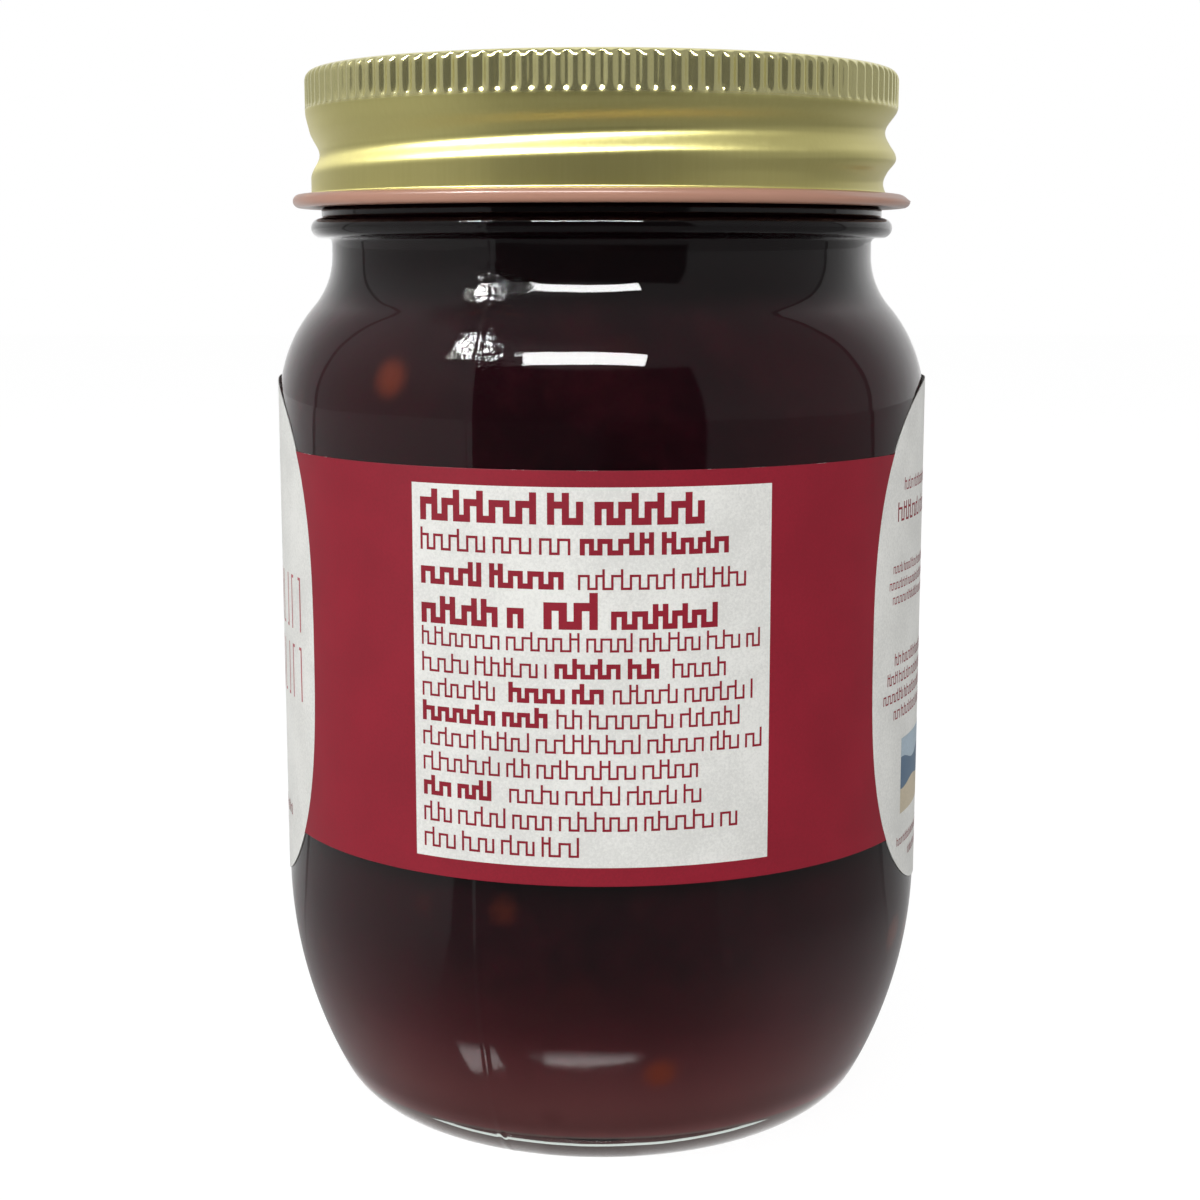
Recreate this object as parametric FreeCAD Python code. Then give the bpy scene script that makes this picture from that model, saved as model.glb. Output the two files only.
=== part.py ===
import FreeCAD, Part

import math
import os

# A pint-sized sauce jar: a clear glass jar filled with dark fruit sauce, shut by a one-piece screw lid of
# gold lacquered metal, and wrapped in a paper label. Sizes are millimetres and +Z is up. The origin is the
# centre of the base on the surface that the jar stands on. Azimuths are degrees about Z from -Y, towards +X.

# Glass: the body
BODY_RADIUS = 40.1
WALL = 2.4
BODY_LENGTH = 58.0          # the straight cylinder between heel and shoulder
HEEL_HEIGHT = 30.5          # from the base to where the body becomes a cylinder
HEEL_ARC = 56.0             # profile radius of the long inward curve above the base
FOOT_ARC = 8.5              # profile radius between heel and base
BEARING_WIDTH = 3.0         # the flat ring that the jar stands on
PUSH_UP = 1.8               # how far the middle of the base is domed up
FLOOR = 4.6                 # height of the inner floor
FLOOR_ARC = 8.0             # profile radius between inner floor and wall
SHOULDER_ARC = 18.0         # profile radius of the outward curve of the shoulder
NECK_ARC = 9.5              # profile radius of the inward curve under the neck

# Glass: the neck and the threaded finish
BORE_RADIUS = 30.9
NECK_LENGTH = 3.2           # from the shoulder to the middle of the bead
BEAD_DEPTH = 2.5            # how far the bead stands out from the neck
BEAD_THICKNESS = 2.4
BEAD_FILLET = 0.6
FINISH_HEIGHT = 18.35       # from the middle of the bead to the rim
FINISH_WALL = 2.6
LAND_DEPTH = 1.0            # the short land above the bead stands out from the finish by this
LAND_HEIGHT = 2.2           # top of that land above the middle of the bead
RIM_ROUND = 0.9
THREAD_PITCH = 6.35
THREAD_DEPTH = 1.35
THREAD_HALF_WIDTH = 1.3

# Lid
SHEET = 0.35
LID_DEPTH = 16.3            # from its top to the bottom of the curl
LID_CORNER = 1.2
KNURL_STEP = 0.6            # the knurled band stands out from the skirt by this
KNURL_DEPTH = 4.6           # from the top of the lid to the bottom of the knurled band
KNURL_RUN = 1.4             # height over which the band runs in to the skirt
FLUTES = 120
FLUTE_ROUND = 0.9
FLUTE_DEPTH = 0.3
FLUTE_LENGTH = 3.9
FLUTE_BELOW_TOP = 0.5
CURL_REACH = 2.3            # the curl stands out from the skirt by this
CURL_THICKNESS = 1.6
PANEL_RECESS = 0.8
GROOVE_HALF_WIDTH = 2.6     # where its sides meet the knurled band's radius
GROOVE_FRONT = 8.7          # groove's middle below the top of the lid, at azimuth 0
GROOVE_START = -330.0       # azimuth of the groove's lower end
GROOVE_TURN = 480.0         # degrees from its lower to its upper end
GROOVE_FADE = 40.0          # degrees over which each end runs out

# Sauce and label
HEADSPACE = 10.0
PAPER = 0.15
BAND_HEIGHT = 46.4
PANEL_WIDTH = 49.5          # measured round the jar
PANEL_HEIGHT = 62.6
PANEL_POWER = 2.85          # 2 is an ellipse, higher is squarer
LABEL_RISE = 1.0            # middle of the label above the middle of the body
LABEL_TURN = -2.9
SEAM_LAP = 6.0

# Clearances
THREAD_CLEARANCE = 0.45     # from the glass thread out to the lid's skirt
RIDGE_CLEARANCE = 0.85      # from the glass finish out to the lid's ridge
PANEL_CLEARANCE = 1.5       # from the bore in to the lid's sunken panel

# Worked out from the sizes above
SHOULDER_Z = HEEL_HEIGHT + BODY_LENGTH
NECK_RADIUS = BORE_RADIUS + WALL
SHOULDER_ANGLE = math.acos(1.0 - (BODY_RADIUS - NECK_RADIUS) / (SHOULDER_ARC + NECK_ARC))
NECK_Z = SHOULDER_Z + (SHOULDER_ARC + NECK_ARC) * math.sin(SHOULDER_ANGLE)
BEAD_Z = NECK_Z + NECK_LENGTH
BEAD_RADIUS = NECK_RADIUS + BEAD_DEPTH
FINISH_RADIUS = BORE_RADIUS + FINISH_WALL
THREAD_RADIUS = FINISH_RADIUS + THREAD_DEPTH
RIM_Z = BEAD_Z + FINISH_HEIGHT
SKIRT_INNER = THREAD_RADIUS + THREAD_CLEARANCE
SKIRT_RADIUS = SKIRT_INNER + SHEET
KNURL_RADIUS = SKIRT_RADIUS + KNURL_STEP
RIDGE_RADIUS = FINISH_RADIUS + RIDGE_CLEARANCE
LID_TOP = RIM_Z + SHEET
SAUCE_Z = RIM_Z - HEADSPACE
LABEL_Z = HEEL_HEIGHT + BODY_LENGTH / 2 + LABEL_RISE


def at(radius, azimuth, z):
    """The point at this radius and azimuth, in degrees, and height."""
    turn = math.radians(azimuth)
    return FreeCAD.Vector(radius * math.sin(turn), -radius * math.cos(turn), z)


def flat(x, z):
    """A point of a profile in the XZ plane."""
    return FreeCAD.Vector(x, 0, z)


def line(start, end):
    """A straight edge."""
    return Part.LineSegment(start, end).toShape()


def arc(centre, radius, start, end):
    """An edge of a profile: the arc about centre from one angle to another, in radians from +X."""
    points = []
    for angle in (start, (start + end) / 2, end):
        points.append(centre + flat(radius * math.cos(angle), radius * math.sin(angle)))
    return Part.Arc(*points).toShape()


def revolved(edges):
    """The solid made by turning a profile about Z. Gaps between its edges are closed with straight lines,
    and a profile drawn the other way round gives the same solid."""
    closed = []
    for edge, following in zip(edges, edges[1:] + edges[:1]):
        closed.append(edge)
        end = edge.lastVertex(True).Point
        start = following.firstVertex(True).Point
        if end.distanceToPoint(start) > 1e-6:
            closed.append(line(end, start))
    solid = Part.Face(Part.Wire(closed)).revolve(FreeCAD.Vector(), FreeCAD.Vector(0, 0, 1), 360)
    return solid if solid.Volume > 0 else solid.reversed()


def heel_and_foot(inset, floor, corner):
    """The arcs of the lower wall, inset from the outside: the corner on the floor, then the long heel.
    The corner's circle touches the floor and, from inside, the circle of the heel."""
    heel = flat(BODY_RADIUS - HEEL_ARC, HEEL_HEIGHT)
    radius = HEEL_ARC - inset
    rise = HEEL_HEIGHT - floor - corner
    reach = math.sqrt((radius - corner) ** 2 - rise ** 2)
    foot = heel + flat(reach, -rise)
    touch = -math.atan2(rise, reach)
    return [arc(foot, corner, -math.pi / 2, touch), arc(heel, radius, touch, 0)]


def shoulder(inset):
    """The two arcs from the body to the neck, inset from the outside: one curving out, one curving in."""
    lower = flat(BODY_RADIUS - SHOULDER_ARC, SHOULDER_Z)
    upper = flat(NECK_RADIUS + NECK_ARC, NECK_Z)
    return [
        arc(lower, SHOULDER_ARC - inset, 0, SHOULDER_ANGLE),
        arc(upper, NECK_ARC + inset, math.pi + SHOULDER_ANGLE, math.pi),
    ]


def cavity(level):
    """The space inside the glass, filled to a level above the shoulder."""
    edges = heel_and_foot(WALL, FLOOR, FLOOR_ARC) + shoulder(WALL)
    edges.append(line(flat(BORE_RADIUS, level), flat(0, level)))
    edges.append(line(flat(0, level), flat(0, FLOOR)))
    return revolved(edges)


def bead():
    """The rounded ring round the neck, with a fillet below it, as profile edges going up."""
    half = BEAD_THICKNESS / 2
    centre = flat(BEAD_RADIUS - half, BEAD_Z)
    fillet = flat(NECK_RADIUS + BEAD_FILLET, BEAD_Z - half - BEAD_FILLET)
    return [
        arc(fillet, BEAD_FILLET, math.pi, math.pi / 2),
        arc(centre, half, -math.pi / 2, math.pi / 2),
    ]


def helical(azimuths, height, root, crest, half_width):
    """A rounded bar wound about the axis, lofted through sections in planes that hold the axis. Each has a
    straight side at the root radius and an arc out or in to the crest radius of its azimuth."""
    sections = []
    for azimuth in azimuths:
        z = height(azimuth)
        low = at(root, azimuth, z - half_width)
        high = at(root, azimuth, z + half_width)
        bow = Part.Arc(low, at(crest(azimuth), azimuth, z), high).toShape()
        sections.append(Part.Wire([bow, line(high, low)]))
    return Part.makeLoft(sections, True, False)


def groove_height(azimuth):
    """Height of the middle of the lid's groove, from the top of the lid."""
    return THREAD_PITCH * azimuth / 360 - GROOVE_FRONT


def thread_height(azimuth):
    """Height of the middle of the glass thread: half a pitch above the groove that runs under it."""
    return LID_TOP + groove_height(azimuth) + THREAD_PITCH / 2


def groove_azimuths():
    """Azimuths of the sections along the groove, about ten degrees apart."""
    steps = round(GROOVE_TURN / 10)
    return [GROOVE_START + GROOVE_TURN * step / steps for step in range(steps + 1)]


def fade(azimuth):
    """1 along the groove, and falling smoothly to 0 over the fade at each end."""
    end = GROOVE_START + GROOVE_TURN
    share = min(azimuth - GROOVE_START, end - azimuth) / GROOVE_FADE
    return 0.5 - 0.5 * math.cos(math.pi * min(1.0, share))


def glass_thread():
    """The raised thread of the glass. It sinks into the finish at its ends."""
    def crest(azimuth):
        low = FINISH_RADIUS - THREAD_DEPTH / 4
        return low + (THREAD_RADIUS - low) * fade(azimuth)

    root = FINISH_RADIUS - THREAD_DEPTH / 2
    return helical(groove_azimuths(), thread_height, root, crest, THREAD_HALF_WIDTH)


def glass_jar():
    """The hollow glass jar: its outside turned, its cavity cut out and the thread wound on."""
    outer = heel_and_foot(0, 0, FOOT_ARC) + shoulder(0) + bead()
    land = FINISH_RADIUS + LAND_DEPTH
    land_z = BEAD_Z + LAND_HEIGHT
    outer.append(line(flat(land, BEAD_Z + BEAD_THICKNESS / 2), flat(land, land_z)))
    outer.append(line(flat(FINISH_RADIUS, land_z + LAND_DEPTH), flat(FINISH_RADIUS, RIM_Z - RIM_ROUND)))
    outer.append(arc(flat(FINISH_RADIUS - RIM_ROUND, RIM_Z - RIM_ROUND), RIM_ROUND, 0, math.pi / 2))
    outer.append(arc(flat(BORE_RADIUS + RIM_ROUND, RIM_Z - RIM_ROUND), RIM_ROUND, math.pi / 2, math.pi))
    bearing = outer[0].firstVertex(True).Point.x - BEARING_WIDTH
    outer.append(line(flat(BORE_RADIUS, RIM_Z - RIM_ROUND), flat(BORE_RADIUS, SAUCE_Z)))
    outer.append(line(flat(0, SAUCE_Z), flat(0, PUSH_UP)))
    dome = (bearing ** 2 + PUSH_UP ** 2) / (2 * PUSH_UP)
    spread = math.asin(bearing / dome)
    outer.append(arc(flat(0, PUSH_UP - dome), dome, math.pi / 2, math.pi / 2 - spread))
    return revolved(outer).fuse(glass_thread()).cut(cavity(SAUCE_Z)).removeSplitter()


def sauce():
    """The sauce fills the glass up to its level."""
    return cavity(SAUCE_Z)


def lid_blank():
    """The lid before it is rolled: top panel, rounded corner, knurled band, skirt and curl, turned."""
    sunk = -PANEL_RECESS
    panel = BORE_RADIUS - PANEL_CLEARANCE
    knurl_z = -KNURL_DEPTH
    half = CURL_THICKNESS / 2
    curl = flat(SKIRT_RADIUS + CURL_REACH - half, half - LID_DEPTH)
    flare = curl.x - SKIRT_RADIUS
    corner = flat(KNURL_RADIUS - LID_CORNER, -LID_CORNER)
    inner_z = -SHEET
    return revolved([
        line(flat(0, sunk), flat(panel - PANEL_RECESS, sunk)),
        line(flat(panel, 0), flat(corner.x, 0)),
        arc(corner, LID_CORNER, math.pi / 2, 0),
        line(flat(KNURL_RADIUS, corner.z), flat(KNURL_RADIUS, knurl_z)),
        line(flat(SKIRT_RADIUS, knurl_z - KNURL_RUN), flat(SKIRT_RADIUS, curl.z + half + flare)),
        arc(curl + flat(0, half + flare), flare, math.pi, 3 * math.pi / 2),
        arc(curl, half, math.pi / 2, -math.pi / 2),
        line(flat(SKIRT_INNER + half, curl.z - half), flat(SKIRT_INNER, curl.z)),
        line(flat(SKIRT_INNER, curl.z), flat(SKIRT_INNER, inner_z - SHEET)),
        line(flat(SKIRT_INNER - SHEET, inner_z), flat(panel + SHEET, inner_z)),
        line(flat(panel - PANEL_RECESS + SHEET, sunk - SHEET), flat(0, sunk - SHEET)),
    ])


def lid_roll(inset, root, low, high):
    """The bar that the thread roller leaves, kept between two heights: the groove outside the skirt, or,
    inset by the sheet, the ridge inside it. At its ends it runs out into the skirt."""
    start = SKIRT_RADIUS + SHEET / 4 - inset
    bottom = RIDGE_RADIUS + SHEET - inset

    def crest(azimuth):
        return start + (bottom - start) * fade(azimuth)

    bar = helical(groove_azimuths(), groove_height, root, crest, GROOVE_HALF_WIDTH)
    return bar.common(Part.makeCylinder(2 * KNURL_RADIUS, high - low, FreeCAD.Vector(0, 0, low)))


def flute():
    """A round-ended upright bar that presses one flute of the knurled band, at azimuth 0."""
    z = -FLUTE_BELOW_TOP - FLUTE_LENGTH
    low = flat(0, z + FLUTE_ROUND)
    high = flat(0, z + FLUTE_LENGTH - FLUTE_ROUND)
    bar = revolved([arc(low, FLUTE_ROUND, -math.pi / 2, 0), arc(high, FLUTE_ROUND, 0, math.pi / 2)])
    bar.translate(at(KNURL_RADIUS + FLUTE_ROUND - FLUTE_DEPTH, 0, 0))
    return bar


def lid():
    """The screw lid: the blank with its flutes pressed in and its helical thread rolled in, made with the
    middle of its top at the origin and then set on the rim of the glass."""
    flutes = []
    for number in range(FLUTES):
        bar = flute()
        bar.rotate(FreeCAD.Vector(), FreeCAD.Vector(0, 0, 1), 360 * number / FLUTES)
        flutes.append(bar)
    ridge = lid_roll(SHEET, SKIRT_INNER + SHEET / 2, -LID_DEPTH, 0)
    groove = lid_roll(0, KNURL_RADIUS + SHEET, CURL_THICKNESS - LID_DEPTH, -KNURL_DEPTH)
    made = lid_blank().cut(flutes).fuse(ridge).cut(groove)
    made.translate(at(0, 0, LID_TOP))
    return made


def ring(inner, outer, low, high):
    """A plain ring about the axis."""
    tube = Part.makeCylinder(outer, high - low, FreeCAD.Vector(0, 0, low))
    return tube.cut(Part.makeCylinder(inner, high - low, FreeCAD.Vector(0, 0, low)))


def label_panel(azimuth, outer):
    """One panel of the label, a superellipse wrapped on the body: |s/a|^n + |z/b|^n = 1, where s runs
    round the jar. Its outline is projected straight out of the axis and cut from a thin ring."""
    points = []
    count = 64
    for number in range(count):
        angle = 2 * math.pi * number / count
        across = math.copysign(abs(math.cos(angle)) ** (2 / PANEL_POWER), math.cos(angle))
        up = math.copysign(abs(math.sin(angle)) ** (2 / PANEL_POWER), math.sin(angle))
        side = outer * math.sin(PANEL_WIDTH / 2 * across / outer)
        points.append(FreeCAD.Vector(side, 0, LABEL_Z + PANEL_HEIGHT / 2 * up))
    outline = Part.BSplineCurve()
    outline.interpolate(Points=points, PeriodicFlag=True)
    stamp = Part.Face(Part.Wire(outline.toShape())).extrude(FreeCAD.Vector(0, -2 * outer, 0))
    stamp.rotate(FreeCAD.Vector(), FreeCAD.Vector(0, 0, 1), azimuth)
    return ring(BODY_RADIUS, outer, LABEL_Z - PANEL_HEIGHT, LABEL_Z + PANEL_HEIGHT).common(stamp)


def label():
    """The paper label: a band round the jar, a taller panel on each side, and its ends lapped behind."""
    outer = BODY_RADIUS + PAPER
    low = LABEL_Z - BAND_HEIGHT / 2
    high = LABEL_Z + BAND_HEIGHT / 2
    lap = ring(outer, outer + PAPER, low, high)
    strip = Part.makeBox(SEAM_LAP, 2 * outer, BAND_HEIGHT, FreeCAD.Vector(-SEAM_LAP / 2, 0, low))
    strip.rotate(FreeCAD.Vector(), FreeCAD.Vector(0, 0, 1), LABEL_TURN)
    sheet = ring(BODY_RADIUS, outer, low, high)
    for side in (-90, 90):
        sheet = sheet.fuse(label_panel(side + LABEL_TURN, outer))
    return sheet.fuse(lap.common(strip)).removeSplitter()


def save(name, shape):
    """Writes one solid of the jar, after a look at whether it is one and sound."""
    solids = shape.Solids
    print(name, "solids", len(solids), "valid", shape.isValid(), "volume", round(shape.Volume, 1))
    solids[0].exportStep(f"parts/{name}.step")


os.makedirs("parts", exist_ok=True)
save("glass_jar", glass_jar())
save("sauce", sauce())
save("lid", lid())
save("label", label())
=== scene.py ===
import math

import bpy
import numpy as np
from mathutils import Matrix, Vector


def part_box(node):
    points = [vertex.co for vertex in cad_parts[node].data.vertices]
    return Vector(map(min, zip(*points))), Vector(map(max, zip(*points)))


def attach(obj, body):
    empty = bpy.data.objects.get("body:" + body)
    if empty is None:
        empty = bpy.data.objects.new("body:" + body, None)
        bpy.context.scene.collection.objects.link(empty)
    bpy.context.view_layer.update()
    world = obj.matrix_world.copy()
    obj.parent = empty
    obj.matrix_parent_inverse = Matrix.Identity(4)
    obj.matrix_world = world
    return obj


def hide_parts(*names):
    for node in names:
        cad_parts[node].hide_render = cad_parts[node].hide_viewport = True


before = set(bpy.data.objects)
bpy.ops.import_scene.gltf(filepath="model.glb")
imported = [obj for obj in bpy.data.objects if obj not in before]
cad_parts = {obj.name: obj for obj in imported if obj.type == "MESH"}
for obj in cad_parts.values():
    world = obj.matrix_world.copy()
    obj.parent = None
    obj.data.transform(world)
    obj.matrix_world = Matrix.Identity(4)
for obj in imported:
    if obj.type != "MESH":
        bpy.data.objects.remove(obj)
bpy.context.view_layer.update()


# The glass jar: clear flint glass, pressed and blown in a mould, with a straight body, a long curved heel,
# a round shoulder, a bead under the lid and a threaded finish that the lid hides. The base is domed up.
mm = 0.001
jar_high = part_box("glass_jar")[1]
body_radius = jar_high.x
rim_z = jar_high.z
wall = 2.4 * mm
bore = 30.9 * mm
neck_radius = bore + wall
finish_radius = bore + 2.6 * mm
heel_top, heel_arc = 30.5 * mm, 56.0 * mm
foot_arc, bearing_width, push_up = 8.5 * mm, 3.0 * mm, 1.8 * mm
shoulder_z = 88.5 * mm
bead_z = rim_z - 18.35 * mm
bead_reach = 2.5 * mm
thread_pitch = 6.35 * mm
groove_start, groove_turn, groove_fade = -330.0, 480.0, 40.0
groove_front = rim_z + 0.35 * mm - 8.7 * mm
thread_half, thread_depth = 1.3 * mm, 1.35 * mm
floor_z, floor_arc = 4.6 * mm, 8.0 * mm
seam_azimuth = -20.5
glass_tint = (0.93, 0.965, 0.945, 1.0)


class Socket:
    """One value in a material. Sums with it add the Math nodes that work them out."""

    def __init__(self, finish, out):
        self.finish = finish
        self.out = out

    def __add__(self, other):
        return self.finish.maths("ADD", self, other)

    def __sub__(self, other):
        return self.finish.maths("SUBTRACT", self, other)

    def __mul__(self, other):
        return self.finish.maths("MULTIPLY", self, other)

    def __radd__(self, other):
        return self.finish.maths("ADD", other, self)

    def __rsub__(self, other):
        return self.finish.maths("SUBTRACT", other, self)

    def __rmul__(self, other):
        return self.finish.maths("MULTIPLY", other, self)

    def __abs__(self):
        return self.finish.maths("ABSOLUTE", self)


class Finish:
    """The nodes of one material, or of the world, made through node()."""

    def __init__(self, name, world=False):
        made = (bpy.data.worlds if world else bpy.data.materials).new(name)
        made.use_nodes = True
        made.node_tree.nodes.clear()
        self.made = made
        self.tree = made.node_tree

    def node(self, kind, settings=None, sockets=None, out=0):
        """Adds a node: its type, its settings, then the values or links of its sockets. Gives one output."""
        node = self.tree.nodes.new(kind)
        for key, value in (settings or {}).items():
            setattr(node, key, value)
        for key, value in (sockets or {}).items():
            if isinstance(value, Socket):
                self.tree.links.new(value.out, node.inputs[key])
            else:
                node.inputs[key].default_value = value
        return Socket(self, node.outputs[out] if node.outputs else None)

    def maths(self, operation, *values):
        """What one Math node makes of its values."""
        return self.node("ShaderNodeMath", {"operation": operation}, dict(enumerate(values)))

    def clamp(self, value):
        """A value kept between 0 and 1."""
        return self.node("ShaderNodeClamp", {}, {0: value})

    def step(self, value, low, high):
        """0 below low, 1 above high, and smooth between them."""
        sockets = {"Value": value, "From Min": low, "From Max": high}
        return self.node("ShaderNodeMapRange", {"interpolation_type": "SMOOTHSTEP"}, sockets)

    def mix(self, share, first, second):
        """The first colour where share is 0 and the second where it is 1."""
        sockets = {0: share, 6: first, 7: second}
        return self.node("ShaderNodeMix", {"data_type": "RGBA"}, sockets, out=2)

    def place(self):
        """The point on the object, in metres."""
        return self.node("ShaderNodeTexCoord", {}, {}, out=3)

    def parts(self, vector):
        """The x, y and z of a vector."""
        across = self.node("ShaderNodeSeparateXYZ", {}, {0: vector})
        return [Socket(self, out) for out in across.out.node.outputs]

    def noise(self, vector, scale, detail=2.0, roughness=0.5):
        """Soft random relief from 0 to 1."""
        sockets = {"Vector": vector, "Scale": scale, "Detail": detail, "Roughness": roughness}
        return self.node("ShaderNodeTexNoise", {}, sockets)

    def stretch(self, vector, scales):
        """The vector times a scale along each axis."""
        return self.node("ShaderNodeVectorMath", {"operation": "MULTIPLY"}, {0: vector, 1: scales})

    def attribute(self, name):
        """A number that the mesh carries at each of its points."""
        return self.node("ShaderNodeAttribute", {"attribute_name": name}, {}, out=2)

    def bump(self, height, distance, strength=1.0, normal=None):
        """A normal tilted by a height from 0 to 1 that stands for this distance in metres."""
        sockets = {"Height": height, "Distance": distance, "Strength": strength}
        if normal is not None:
            sockets["Normal"] = normal
        return self.node("ShaderNodeBump", {}, sockets)

    def surface(self, shader, volume=None):
        """Ends the material."""
        sockets = {"Surface": shader}
        if volume is not None:
            sockets["Volume"] = volume
        self.node("ShaderNodeOutputMaterial", {}, sockets)
        return self.made


def arc(centre, radius, start, end, count):
    """Points of an arc about centre, in the plane of radius and height, with angles from straight out."""
    angle = np.linspace(start, end, count)
    return np.stack([centre[0] + radius * np.cos(angle), centre[1] + radius * np.sin(angle)], 1)


def run(start, end, count):
    """Points of a straight run, without its last one."""
    share = np.arange(count)[:, None] / count
    return np.array(start) * (1 - share) + np.array(end) * share


def lower_wall(inset, floor, corner, count):
    """Points up the corner on the floor and the long arc of the heel, inset from the outside of the glass.
    The corner's circle touches the floor and, from inside, the circle of the heel."""
    heel = (body_radius - heel_arc, heel_top)
    radius = heel_arc - inset
    rise = heel_top - floor - corner
    reach = math.sqrt((radius - corner) ** 2 - rise ** 2)
    touch = -math.atan2(rise, reach)
    foot = (heel[0] + reach, floor + corner)
    lower = arc(foot, corner, -math.pi / 2, touch, count)
    return np.concatenate([lower[:-1], arc(heel, radius, touch, 0, 2 * count)])


def shoulder(inset, count):
    """Points up the two arcs from body to neck, inset from the outside: one curving out, one curving in."""
    out_arc, in_arc = 18.0 * mm, 9.5 * mm
    turn = math.acos(1 - (body_radius - neck_radius) / (out_arc + in_arc))
    top = shoulder_z + (out_arc + in_arc) * math.sin(turn)
    lower = arc((body_radius - out_arc, shoulder_z), out_arc - inset, 0, turn, 2 * count)
    upper = arc((neck_radius + in_arc, top), in_arc + inset, math.pi + turn, math.pi, count)
    return np.concatenate([lower[:-1], upper])


def helix(azimuth):
    """Height of the middle of the lid's groove at an azimuth in degrees, on its lower turn."""
    return groove_front + thread_pitch * azimuth / 360


def wound(azimuth, z, middle, half, crest):
    """Depth of a bar wound about the axis, at each azimuth and height. Across the bar it is a raised
    cosine, crest deep at the middle and 0 at half its width, and it fades at both of its ends."""
    depth = np.zeros(np.broadcast(azimuth, z).shape)
    for turn in (-1, 0, 1):
        unwound = azimuth + 360.0 * turn
        along = np.minimum(unwound - groove_start, groove_start + groove_turn - unwound) / groove_fade
        fade = 0.5 - 0.5 * np.cos(math.pi * np.clip(along, 0, 1))
        across = np.clip(np.abs(z - middle(unwound)) / half, 0, 1)
        depth = np.maximum(depth, crest * fade * (0.5 + 0.5 * np.cos(math.pi * across)))
    return depth


def turned(profile, azimuths):
    """Points of a profile of radii and heights carried round the axis: rows follow the profile, columns
    the azimuths in degrees, from the front towards +X. A third axis holds x, y and z."""
    radius, height = np.broadcast_arrays(profile[..., 0], profile[..., 1])
    if profile.ndim == 2:
        radius, height = radius[:, None], height[:, None]
    turn = np.radians(azimuths)[None, :]
    x = radius * np.sin(turn)
    return np.stack([x, -radius * np.cos(turn), np.broadcast_to(height, x.shape)], 2)


def piece(name, points, faces, finishes, picks=None):
    """A mesh object on the root body from points, faces as rows of point numbers, and its materials."""
    mesh = bpy.data.meshes.new(name)
    mesh.from_pydata(points.reshape(-1, 3).tolist(), [], faces)
    for finish in finishes:
        mesh.materials.append(finish)
    if picks is not None:
        mesh.polygons.foreach_set("material_index", np.asarray(picks, dtype=np.int32))
    mesh.polygons.foreach_set("use_smooth", np.ones(len(mesh.polygons), dtype=bool))
    mesh.update()
    made = bpy.data.objects.new(name, mesh)
    bpy.context.scene.collection.objects.link(made)
    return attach(made, "root")


def carry(made, name, values):
    """Stores a number for each point of a piece."""
    layer = made.data.attributes.new(name, "FLOAT", "POINT")
    layer.data.foreach_set("value", np.asarray(values, dtype=np.float32).ravel())


def grid_faces(rows, columns, closed):
    """Four-sided faces between neighbouring rows and columns of points, closed round the columns or not.
    Rows that go up an outside, with columns that go round towards +X, give faces that point out."""
    row = np.arange(rows - 1)[:, None]
    column = np.arange(columns if closed else columns - 1)[None, :]
    following = (column + 1) % columns
    low, high = row * columns, (row + 1) * columns
    corners = np.stack([low + column, low + following, high + following, high + column], 2)
    return corners.reshape(-1, 4)


def closed_points(grid):
    """The points of a closed turning: one for each of its two poles, and every point of the rows between."""
    return np.concatenate([grid[0, :1], grid[1:-1].reshape(-1, 3), grid[-1, :1]])


def closed_turning(name, grid, finishes):
    """A closed solid of revolution from rows of points whose first and last rows lie on the axis: those two
    rows are one point each, and fans of triangles close the poles."""
    rows, columns = grid.shape[:2]
    points = closed_points(grid)
    body = grid_faces(rows - 2, columns, True) + 1
    first = np.arange(columns)
    after = (first + 1) % columns
    last = 1 + (rows - 3) * columns
    start_fan = np.stack([np.zeros(columns, dtype=int), after + 1, first + 1], 1)
    end_fan = np.stack([first + last, after + last, np.full(columns, len(points) - 1)], 1)
    return piece(name, points, start_fan.tolist() + body.tolist() + end_fan.tolist(), finishes)


def glass_outline():
    """The profile of the jar: from the middle of the base out, up the outside, over the rim, down the bore
    and the inner wall and in along the inner floor to its middle."""
    half = 1.2 * mm
    fillet = 0.6 * mm
    land, land_z = finish_radius + 1.0 * mm, bead_z + 2.2 * mm
    rim_round = 0.9 * mm
    outside = lower_wall(0, 0, foot_arc, 16)
    bearing = outside[0, 0] - bearing_width
    dome = (bearing ** 2 + push_up ** 2) / (2 * push_up)
    spread = math.asin(bearing / dome)
    bead_centre = (neck_radius + bead_reach - half, bead_z)
    fillet_centre = (neck_radius + fillet, bead_z - half - fillet)
    inside = np.concatenate([lower_wall(wall, floor_z, floor_arc, 10), shoulder(wall, 10)])[::-1]
    return np.concatenate([
        arc((0, push_up - dome), dome, math.pi / 2, math.pi / 2 - spread, 12),
        outside,
        shoulder(0, 12),
        arc(fillet_centre, fillet, math.pi, math.pi / 2, 5),
        arc(bead_centre, half, -math.pi / 2, math.pi / 2, 13),
        run((land, bead_z + half), (land, land_z), 3),
        run((land, land_z), (finish_radius, land_z + 1.0 * mm), 3),
        run((finish_radius, land_z + 1.0 * mm), (finish_radius, rim_z - rim_round), 44),
        arc((finish_radius - rim_round, rim_z - rim_round), rim_round, 0, math.pi / 2, 5),
        arc((bore + rim_round, rim_z - rim_round), rim_round, math.pi / 2, math.pi, 5),
        run((bore, rim_z - 1.5 * rim_round), (bore, inside[0, 1]), 6),
        inside,
        [(0, inside[-1, 1])],
    ])


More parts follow.
